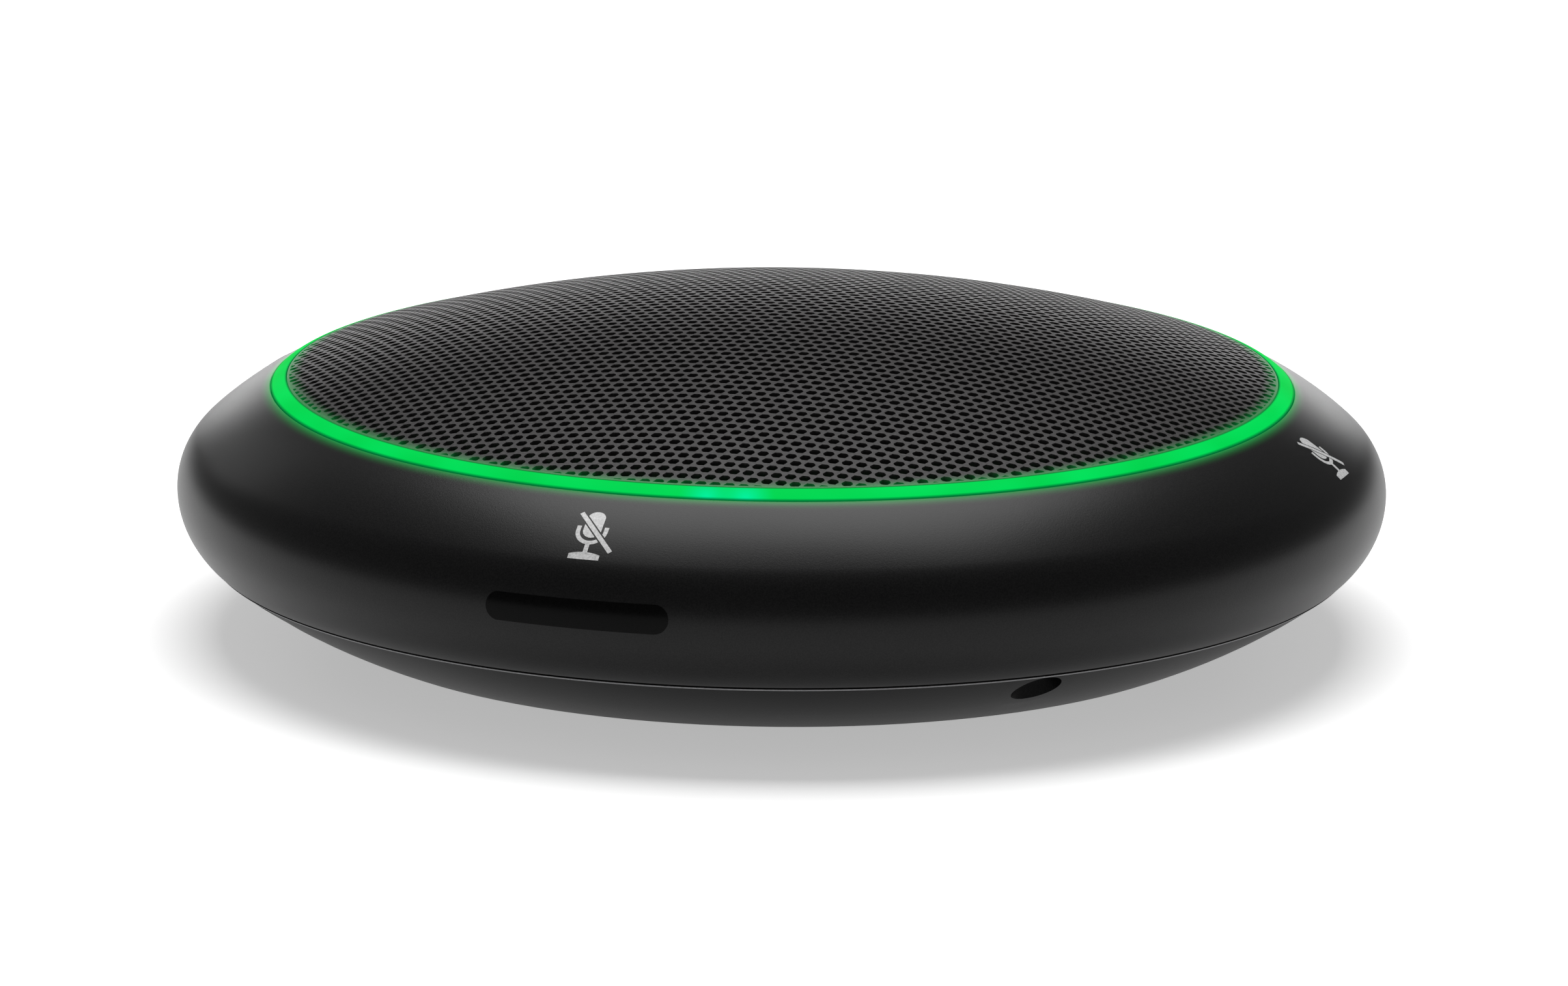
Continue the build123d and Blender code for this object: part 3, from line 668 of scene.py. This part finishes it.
def nearest_hole(point):
    """Centre of the lattice hole that is nearest to a flat point."""
    across, along = lattice_inverse @ point
    near = []
    for column in (int(across // 1), int(across // 1) + 1):
        for row in (int(along // 1), int(along // 1) + 1):
            near.append(lattice @ Vector((column, row)))
    return min(near, key=lambda spot: (spot - point).length_squared)


def perforated_sheet(inner, outer):
    """Flat triangle lattice from inner to just beyond outer; its points are where the holes go."""
    reach = int(outer / row_step) + 4       # rows each way, with a few to spare
    mesh = bmesh.new()
    bmesh.ops.create_grid(mesh, x_segments=2 * reach, y_segments=2 * reach, size=reach)
    for corner in mesh.verts:
        flat = lattice @ Vector((round(corner.co.x), round(corner.co.y)))
        corner.co = (flat.x, flat.y, 0)
    bmesh.ops.triangulate(mesh, faces=mesh.faces, quad_method="FIXED")
    far = [
        face for face in mesh.faces
        if not inner <= face.calc_center_median().length <= outer + pitch
    ]
    bmesh.ops.delete(mesh, geom=far, context="FACES")
    return mesh


def open_holes(mesh):
    """Bevels every lattice point into a round hole and deletes what fills it."""
    inner_points = [corner for corner in mesh.verts if not corner.is_boundary]
    bmesh.ops.bevel(
        mesh, geom=inner_points, offset=hole_radius, offset_type="OFFSET", affect="VERTICES",
        segments=2, profile=0.5, material=-1, clamp_overlap=False,
    )
    middles = [
        corner for corner in mesh.verts
        if not corner.is_boundary
        and (corner.co.xy - nearest_hole(corner.co.xy)).length < hole_middle
    ]
    count = len(middles)
    bmesh.ops.delete(mesh, geom=middles, context="VERTS")
    for corner in mesh.verts:
        middle = nearest_hole(corner.co.xy)
        away = corner.co.xy - middle
        if away.length > hole_middle:
            around = middle + away.normalized() * hole_radius
            corner.co = (around.x, around.y, 0)
    return count


sheet = perforated_sheet(0, field_rim)
count = open_holes(sheet)
print("holes", count, "vertices", len(sheet.verts), "faces", len(sheet.faces))

# %% [markdown]
# Cutting the sheet at its rim leaves very thin scraps, and a thickness would make them stick out
# as spikes. So corners that nearly meet at the rim are merged, and faces too small to see go.

# %% Clip the sheet at the rim and press it into a dome
rim_merge = 0.06 * mm
smallest_side = 0.1 * mm
beyond = {corner for corner in sheet.verts if corner.co.xy.length > field_rim}
for corner in beyond:
    corner.co.xy = corner.co.xy * (field_rim / corner.co.xy.length)
gone = [face for face in sheet.faces if all(corner in beyond for corner in face.verts)]
bmesh.ops.delete(sheet, geom=gone, context="FACES")
at_rim = [corner for corner in sheet.verts if corner.co.xy.length > field_rim - rim_merge]
bmesh.ops.remove_doubles(sheet, verts=at_rim, dist=rim_merge)
bmesh.ops.dissolve_degenerate(sheet, dist=0.01 * mm, edges=sheet.edges)
slivers = [face for face in sheet.faces if face.calc_area() < smallest_side ** 2]
bmesh.ops.delete(sheet, geom=slivers, context="FACES")
print("slivers removed", len(slivers))


def dome_height(away, reach=dome_radius):
    """Height at a distance from the axis of a sphere about the dome's centre."""
    return dome_centre + sqrt(reach * reach - away * away)


for corner in sheet.verts:
    corner.co.z = dome_height(corner.co.xy.length)
bmesh.ops.recalc_face_normals(sheet, faces=sheet.faces)
if sum(face.normal.z for face in sheet.faces) < 0:
    bmesh.ops.reverse_faces(sheet, faces=sheet.faces)
print("dome faces", len(sheet.faces), "dome radius", round(dome_radius / mm, 1))

# %% [markdown]
# The sheet is kept as two fields, a centre and an edge, so that each mesh stays light enough to
# be written out whole. They meet along the faces of the lattice, where no line shows.

# %% Split the sheet in two fields and give them thickness
split_radius = 38.0 * mm


def field(source, name, keep):
    """Copies the faces that keep accepts into a piece with thickness."""
    mesh = source.copy()
    drop = [face for face in mesh.faces if not keep(face.calc_center_median().xy.length)]
    bmesh.ops.delete(mesh, geom=drop, context="FACES")
    piece = make_piece(mesh, name, grille_paint, ["grille"], sharp=30)
    wall = piece.modifiers.new("sheet thickness", "SOLIDIFY")
    wall.thickness = sheet_thickness
    wall.offset = -1.0


field(sheet, "grille_field_centre", lambda away: away <= split_radius)
field(sheet, "grille_field_edge", lambda away: away > split_radius)
sheet.free()

# %% [markdown]
# The edge of the sheet is rolled over and turned down behind the light ring. It is a separate
# turned piece, and its rounded top gives the fine bright line that closes the grille.

# %% Spin the grille's rim
skirt_foot = 25.0 * mm
skirt_inner = grille_rim - sheet_thickness
rim_inner = field_rim - 0.12 * mm
rim_proud = 0.01 * mm
rim_underside = dome_height(rim_inner) - sheet_thickness
roll = 0.2 * mm
roll_top = Vector((grille_rim - roll, dome_height(grille_rim - roll) + rim_proud))
roll_centre = Vector((roll_top.x, roll_top.y - roll))

mesh, corner = start_section(rim_inner, dome_height(rim_inner) + rim_proud)
first = corner
corner = line_to(mesh, corner, roll_top.x, roll_top.y)
corner = arc_to(mesh, corner, roll_centre, Vector((grille_rim, roll_centre.y)), 5)
corner = line_to(mesh, corner, grille_rim, skirt_foot)
corner = line_to(mesh, corner, skirt_inner, skirt_foot)
corner = line_to(mesh, corner, skirt_inner, rim_underside)
corner = line_to(mesh, corner, rim_inner, rim_underside)
mesh.edges.new((corner, first))
spin_section(mesh, steps=fine_steps)
make_piece(mesh, "grille_rim", grille_paint, ["grille"])

# %% [markdown]
# Under the holes lies a disc of open-cell foam that follows the dome. Only its dark face shows
# through the holes. A sphere's cap could make it, but a turned section gives the rounded
# edge of cut foam too, and a slow ripple of its corners keeps it from looking machined.

# %% Spin the foam
carrier_rim = 3.2 * mm
foam_gap = 0.2 * mm
foam_radius = grille_rim - close_fit - carrier_rim - foam_gap
foam_drop = 1.0 * mm
foam_thickness = 2.5 * mm
foam_round = 0.7 * mm
foam_ripple = 0.03 * mm
foam_waves = (900, 1100)        # radians per metre, across and along
dome_axis = Vector((0.0, dome_centre))
outer_reach = dome_radius - foam_drop
inner_reach = outer_reach - foam_thickness

mesh, corner = start_section(0, dome_centre + outer_reach)
first = corner
edge_away = foam_radius - foam_round
edge_point = Vector((edge_away, dome_height(edge_away, outer_reach)))
corner = arc_to(mesh, corner, dome_axis, edge_point, 40)
corner = arc_to(
    mesh, corner, Vector((edge_away, edge_point.y - foam_round)),
    Vector((foam_radius, edge_point.y - foam_round)), 4,
)
corner = line_to(mesh, corner, foam_radius, dome_height(foam_radius, inner_reach))
corner = arc_to(mesh, corner, dome_axis, Vector((0.0, dome_centre + inner_reach)), 40)
spin_section(mesh, steps=192)
for corner in mesh.verts:
    ripple = sin(corner.co.x * foam_waves[0]) * cos(corner.co.y * foam_waves[1])
    corner.co.z -= foam_ripple * (1 + ripple)
foam = make_piece(mesh, "foam_dome", finishes["foam"], ["acoustic_foam"])

# %% [markdown]
# ## Printed marks
# Two kinds of print lie on the shell: the four mute marks on the shoulder, and a plain glossy bar
# at the front. Both start flat. Each shape is a disc, a one-face grid or a spun edge, made longer
# and cut with planes. It is then carried onto the skin, where across and along become an angle
# around the axis and a place on the outline. Fine slices first give it enough corners to curve.

# %% Carry a flat shape onto the skin
mark_start = 59.3 * mm          # from the axis to the top of the marks
start_height = shoulder_height_at(mark_start)
start_angle = atan2(start_height - shoulder_centre.y, mark_start - shoulder_centre.x)
haunch_angle = atan2(haunch.y - shoulder_centre.y, haunch.x - shoulder_centre.x)
shoulder_run = (start_angle - haunch_angle) * shoulder_radius
ink = 0.03 * mm
ink_lift = 0.008 * mm           # the print starts just clear of the skin
cut_reach = 0.0005 * mm         # how near a cut a corner already counts as on it


def down_the_skin(run):
    """Point of the outline a distance down from where the marks start, and its outward normal."""
    if run <= shoulder_run:
        centre, reach, angle = shoulder_centre, shoulder_radius, start_angle - run / shoulder_radius
    else:
        centre, reach = upper_centre, upper_radius
        angle = haunch_angle - (run - shoulder_run) / upper_radius
    outward = Vector((cos(angle), sin(angle)))
    return centre + outward * reach, outward


def slice_fine(mesh, step, reach):
    """Cuts a flat mesh into strips both ways."""
    count = int(reach / step)
    for normal in ((1, 0, 0), (0, 1, 0)):
        for index in range(-count, count + 1):
            place = tuple(part * index * step for part in normal)
            geometry = mesh.verts[:] + mesh.edges[:] + mesh.faces[:]
            bmesh.ops.bisect_plane(
                mesh, geom=geometry, dist=cut_reach, plane_co=place, plane_no=normal
            )


def print_on_skin(mesh, turn, skin):
    """Lays a flat shape on the shell at an angle around the axis: skin turns y into a point."""
    for corner in mesh.verts:
        spot, outward = skin(corner.co.y)
        angle = turn + corner.co.x / spot.x
        away = spot.x + outward.x * ink_lift
        corner.co = (away * cos(angle), away * sin(angle), spot.y + outward.y * ink_lift)
    facing = Vector((cos(turn), sin(turn), 0.4))
    bmesh.ops.recalc_face_normals(mesh, faces=mesh.faces)
    flipped = [face for face in mesh.faces if face.normal.dot(facing) < 0]
    bmesh.ops.reverse_faces(mesh, faces=flipped)


def give_ink(piece):
    """Gives a print its thickness, outwards."""
    layer = piece.modifiers.new("ink thickness", "SOLIDIFY")
    layer.thickness = ink
    layer.offset = 1.0


def disc(mesh, x, y, size, segments):
    """Flat disc with its middle at x, y."""
    return bmesh.ops.create_circle(
        mesh, cap_ends=True, segments=segments, radius=size, matrix=place_at(x, y, 0)
    )["verts"]


print("shoulder below the marks' start, in mm", round(shoulder_run / mm, 2))

# %% [markdown]
# A mute mark shows a microphone: a capsule, the cradle around it, a stem, a foot, and a stroke
# across them. The capsule and the stem are discs pulled apart in the middle. The cradle is a short
# edge spun through half a turn, with a straight arm at each end. The foot and the stroke are plain
# bars, and the foot's upper side is then raised in the middle. The capsule and the cradle are cut
# back on both sides of the stroke, so that a dark gap sets it off.

# %% Parts of the mark
stroke_start = Vector((-1.8 * mm, 0.3 * mm))
stroke_end = Vector((2.7 * mm, 5.3 * mm))
stroke_width = 0.5 * mm
stroke_gap = 0.16 * mm
mark_reach = 7 * mm             # half the square that holds a mark, for slicing


def rounded_bar(start, end, width):
    """Flat bar with round ends: a disc whose far half is moved to the end."""
    mesh = bmesh.new()
    corners = disc(mesh, 0, 0, width / 2, segments=24)
    axis = end - start
    for corner in corners:
        if corner.co.x > -1e-9:
            corner.co.x += axis.length
    turn = Matrix.Rotation(atan2(axis.y, axis.x), 4, "Z")
    place = place_at(start.x, start.y, 0) @ turn
    bmesh.ops.transform(mesh, matrix=place, verts=mesh.verts)
    return mesh


def square_bar(start, end, width):
    """Flat bar with square ends."""
    mesh = bmesh.new()
    bmesh.ops.create_grid(mesh, x_segments=1, y_segments=1, size=0.5)
    axis = end - start
    size = Matrix.Diagonal((axis.length, width, 1, 1))
    turn = Matrix.Rotation(atan2(axis.y, axis.x), 4, "Z")
    middle = (start + end) / 2
    place = place_at(middle.x, middle.y, 0) @ turn @ size
    bmesh.ops.transform(mesh, matrix=place, verts=mesh.verts)
    return mesh


def half_ring(inner, outer, arm):
    """Flat U: a half ring whose ends run on as straight arms."""
    mesh = bmesh.new()
    first = mesh.verts.new((inner, -arm, 0))
    second = mesh.verts.new((outer, -arm, 0))
    mesh.edges.new((first, second))
    swept = bmesh.ops.extrude_edge_only(mesh, edges=mesh.edges[:])
    moved = [part for part in swept["geom"] if isinstance(part, bmesh.types.BMVert)]
    for corner in moved:
        corner.co.y = 0
    edge = [part for part in swept["geom"] if isinstance(part, bmesh.types.BMEdge)]
    bend = bmesh.ops.spin(mesh, geom=edge, cent=(0, 0, 0), axis=(0, 0, 1), angle=pi, steps=18)
    edge = [part for part in bend["geom_last"] if isinstance(part, bmesh.types.BMEdge)]
    swept = bmesh.ops.extrude_edge_only(mesh, edges=edge)
    for part in swept["geom"]:
        if isinstance(part, bmesh.types.BMVert):
            part.co.y = -arm
    bmesh.ops.remove_doubles(mesh, verts=mesh.verts, dist=0.001 * mm)
    return mesh


def shift(mesh, x, y):
    """Moves a flat shape, and hands it on."""
    bmesh.ops.translate(mesh, vec=(x, y, 0), verts=mesh.verts)
    return mesh


def cut_back(mesh):
    """Deletes what lies within the gap of the stroke."""
    axis = (stroke_end - stroke_start).normalized()
    side = Vector((-axis.y, axis.x))
    reach = stroke_width / 2 + stroke_gap
    for sign in (-1, 1):
        place = stroke_start + side * reach * sign
        geometry = mesh.verts[:] + mesh.edges[:] + mesh.faces[:]
        bmesh.ops.bisect_plane(
            mesh, geom=geometry, dist=cut_reach, plane_co=(*place, 0), plane_no=(*side, 0)
        )
    near = [
        face for face in mesh.faces
        if abs((face.calc_center_median().xy - stroke_start).dot(side)) < reach
    ]
    bmesh.ops.delete(mesh, geom=near, context="FACES")
    return mesh


def mark_parts():
    """The five flat parts of one mark, in metres, with y pointing down the skin."""
    capsule = rounded_bar(Vector((0, 1.0 * mm)), Vector((0, 2.6 * mm)), 2.0 * mm)
    cradle = shift(half_ring(1.27 * mm, 1.74 * mm, 0.65 * mm), 0, 2.75 * mm)
    stem = rounded_bar(Vector((0, 4.4 * mm)), Vector((0, 5.7 * mm)), 0.5 * mm)
    half_foot = 1.7 * mm
    foot_drop = 6.1 * mm
    foot = square_bar(Vector((-half_foot, foot_drop)), Vector((half_foot, foot_drop)), 0.62 * mm)
    slice_fine(foot, 0.2 * mm, mark_reach)
    for corner in foot.verts:
        if corner.co.y < foot_drop - 0.1 * mm:
            corner.co.y -= 0.3 * mm * (1 - (corner.co.x / half_foot) ** 2)
    stroke = square_bar(stroke_start, stroke_end, stroke_width)
    return [cut_back(capsule), cut_back(cradle), stem, foot, stroke]


def lay_mark(name, turn):
    """Joins the parts, lays them on the shoulder and gives the ink its thickness."""
    whole = bmesh.new()
    for part in mark_parts():
        slice_fine(part, 0.4 * mm, mark_reach)
        data = bpy.data.meshes.new("part")
        part.to_mesh(data)
        part.free()
        whole.from_mesh(data)
        bpy.data.meshes.remove(data)
    print_on_skin(whole, turn, down_the_skin)
    give_ink(make_piece(whole, name, finishes["ink_white"]))


front = radians(-90)            # angle around the axis, from +X
lay_mark("mute_mark_front", front)
lay_mark("mute_mark_right", radians(0))
lay_mark("mute_mark_back", radians(90))
lay_mark("mute_mark_left", radians(180))

# %% [markdown]
# The badge is blank: a rounded bar of gloss ink on the satin belt. The change of gloss is all
# that shows it, so its material is as dark as the shell and much smoother.

# %% Lay the badge on the belt
badge_width = 20.2 * mm
badge_half = 1.55 * mm          # half its height, and the radius of its ends
badge_rise = 0.6 * mm           # its middle above the widest circle


def up_the_belt(rise):
    """Point of the outline at a height above the badge's middle, and its outward normal."""
    height = girth_height + badge_rise + rise
    if height >= girth_height:
        centre, reach = upper_centre, upper_radius
    else:
        centre, reach = lower_centre, lower_radius
    spot = on_arc(centre, reach, height)
    return spot, (spot - centre).normalized()


end = Vector((badge_width / 2 - badge_half, 0))
badge = rounded_bar(-end, end, 2 * badge_half)
slice_fine(badge, 0.45 * mm, 11 * mm)
print_on_skin(badge, front, up_the_belt)
give_ink(make_piece(badge, "badge_bar", finishes["ink_black"], ["badge"]))

# %% [markdown]
# ## Parts from the frame
# Everything inside the shell, and the cover below it, has the right shape already. These parts
# keep their meshes and get the finishes made above.

# %% Paint the parts that stay
wears = {
    "lower_cover": cover_plastic,
    "foot_ring": finishes["rubber"],
    "mount_inserts": finishes["brass"],
    "ballast_ring": finishes["cast"],
    "rating_label": finishes["label"],
    "reset_button": finishes["button"],
    "switch_plunger": finishes["chip"],
    "reset_switch": finishes["steel"],
    "case_screws": finishes["black_steel"],
    "touch_pads": finishes["can"],
    "mic_carrier": finishes["inner"],
    "mic_boots": finishes["boot"],
    "mic_capsules": finishes["can"],
    "mic_board": finishes["board"],
    "ring_leds": finishes["lamp"],
    "carrier_screws": finishes["steel"],
    "main_board": finishes["board"],
    "board_standoffs": finishes["brass"],
    "socket_body": finishes["socket"],
    "socket_shield": finishes["steel"],
    "socket_contacts": finishes["gold"],
    "network_magnetics": finishes["chip"],
    "power_transformer": finishes["ferrite"],
    "power_inductors": finishes["ferrite"],
    "capacitors": finishes["can"],
    "processor": finishes["chip"],
    "thermal_pad": finishes["pad"],
    "shield_can": finishes["steel"],
    "memory_chips": finishes["chip"],
    "board_plug": finishes["socket"],
    "board_socket": finishes["socket"],
    "audio_chips": finishes["chip"],
}
for node, finish in wears.items():
    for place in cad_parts[node].material_slots:
        place.material = finish
replaced = {"upper_housing", "light_ring", "grille", "acoustic_foam", "badge"}
unpainted = set(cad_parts) - set(wears) - replaced
print("painted", len(wears), "unpainted", sorted(unpainted))

# %% [markdown]
# ## Floor, light and camera
# The object stands on a plain pale floor that also glows a little, like a light table, so that
# its shadow stays faint. A wide soft light hangs above and behind, and it draws the sheen on the
# shoulder. The dark shell shows mostly what it mirrors, so each light's place shapes a highlight.

# %% Floor
floor_half = 1.6
floor_drop = 0.05 * mm          # keeps it out of the plane of the foot ring
floor_glow = 0.45
floor_finish = Finish("pale_floor", (0.86, 0.86, 0.86), 0.7, Specular_IOR_Level=0.1)
floor_finish.give("Emission Color", (1.0, 1.0, 1.0))
floor_finish.give("Emission Strength", floor_glow)
dust = floor_finish.noise(60 * mm, detail=3.0)
floor_finish.give("Base Color", floor_finish.mix(dust, (0.85, 0.85, 0.85), (0.88, 0.88, 0.88)))

mesh = bmesh.new()
low = place_at(0, 0, -floor_drop)
bmesh.ops.create_grid(mesh, x_segments=8, y_segments=8, size=floor_half, matrix=low)
data = bpy.data.meshes.new("floor")
mesh.to_mesh(data)
mesh.free()
data.materials.append(floor_finish.material)
floor = bpy.data.objects.new("floor", data)
bpy.context.scene.collection.objects.link(floor)
print("floor", 2 * floor_half, "m wide")

# %% Camera
azimuth = radians(18.6)
elevation = radians(13.31)
roll_angle = radians(0.47)
distance = 0.9
aim_height = 14.45 * mm
side_shift = 0.26 * mm

right = Vector((cos(azimuth), sin(azimuth), 0))
back = Vector((sin(azimuth) * cos(elevation), -cos(azimuth) * cos(elevation), sin(elevation)))
up = back.cross(right)
camera_x = right * cos(roll_angle) + up * sin(roll_angle)
camera_y = back.cross(camera_x)
aim = right * side_shift + Vector((0, 0, aim_height))
lens = bpy.data.cameras.new("camera")
lens.lens = 186.0
lens.sensor_width = 36.0
lens.clip_start = 0.05
lens.clip_end = 50.0
camera = bpy.data.objects.new("camera", lens)
turn = Matrix((camera_x, camera_y, back)).transposed().to_4x4()
camera.matrix_world = Matrix.Translation(aim + back * distance) @ turn
bpy.context.scene.collection.objects.link(camera)
bpy.context.scene.camera = camera
print("camera at", [round(part, 3) for part in camera.matrix_world.translation])

# %% Lights
middle = Vector((0, 0, 20 * mm))


def soft_light(name, side, height, away, width, depth, power):
    """Area light that faces the object; side and height are angles in the camera's frame."""
    panel = bpy.data.lights.new(name, "AREA")
    panel.shape = "RECTANGLE"
    panel.size = width
    panel.size_y = depth
    panel.energy = power
    light = bpy.data.objects.new(name, panel)
    round_angle = azimuth + radians(side)
    reach = cos(radians(height))
    towards = Vector((sin(round_angle) * reach, -cos(round_angle) * reach, sin(radians(height))))
    aimed = towards.to_track_quat("Z", "Y").to_matrix().to_4x4()
    light.matrix_world = Matrix.Translation(middle + towards * away) @ aimed
    bpy.context.scene.collection.objects.link(light)
    print(name, power, "W")


soft_light("overhead", 180, 73, 1.3, 1.05, 0.85, 16.5)
soft_light("left_side", -145, 20, 1.4, 0.4, 0.4, 0.3)
soft_light("low_back", 180, 4, 1.4, 1.0, 0.16, 2.3)

world = bpy.data.worlds.new("studio")
world.use_nodes = True
room_light = world.node_tree.nodes["Background"]
room_light.inputs["Color"].default_value = (1.0, 1.0, 1.0, 1.0)
room_light.inputs["Strength"].default_value = 0.13
bpy.context.scene.world = world
bpy.context.scene.view_settings.view_transform = "Standard"
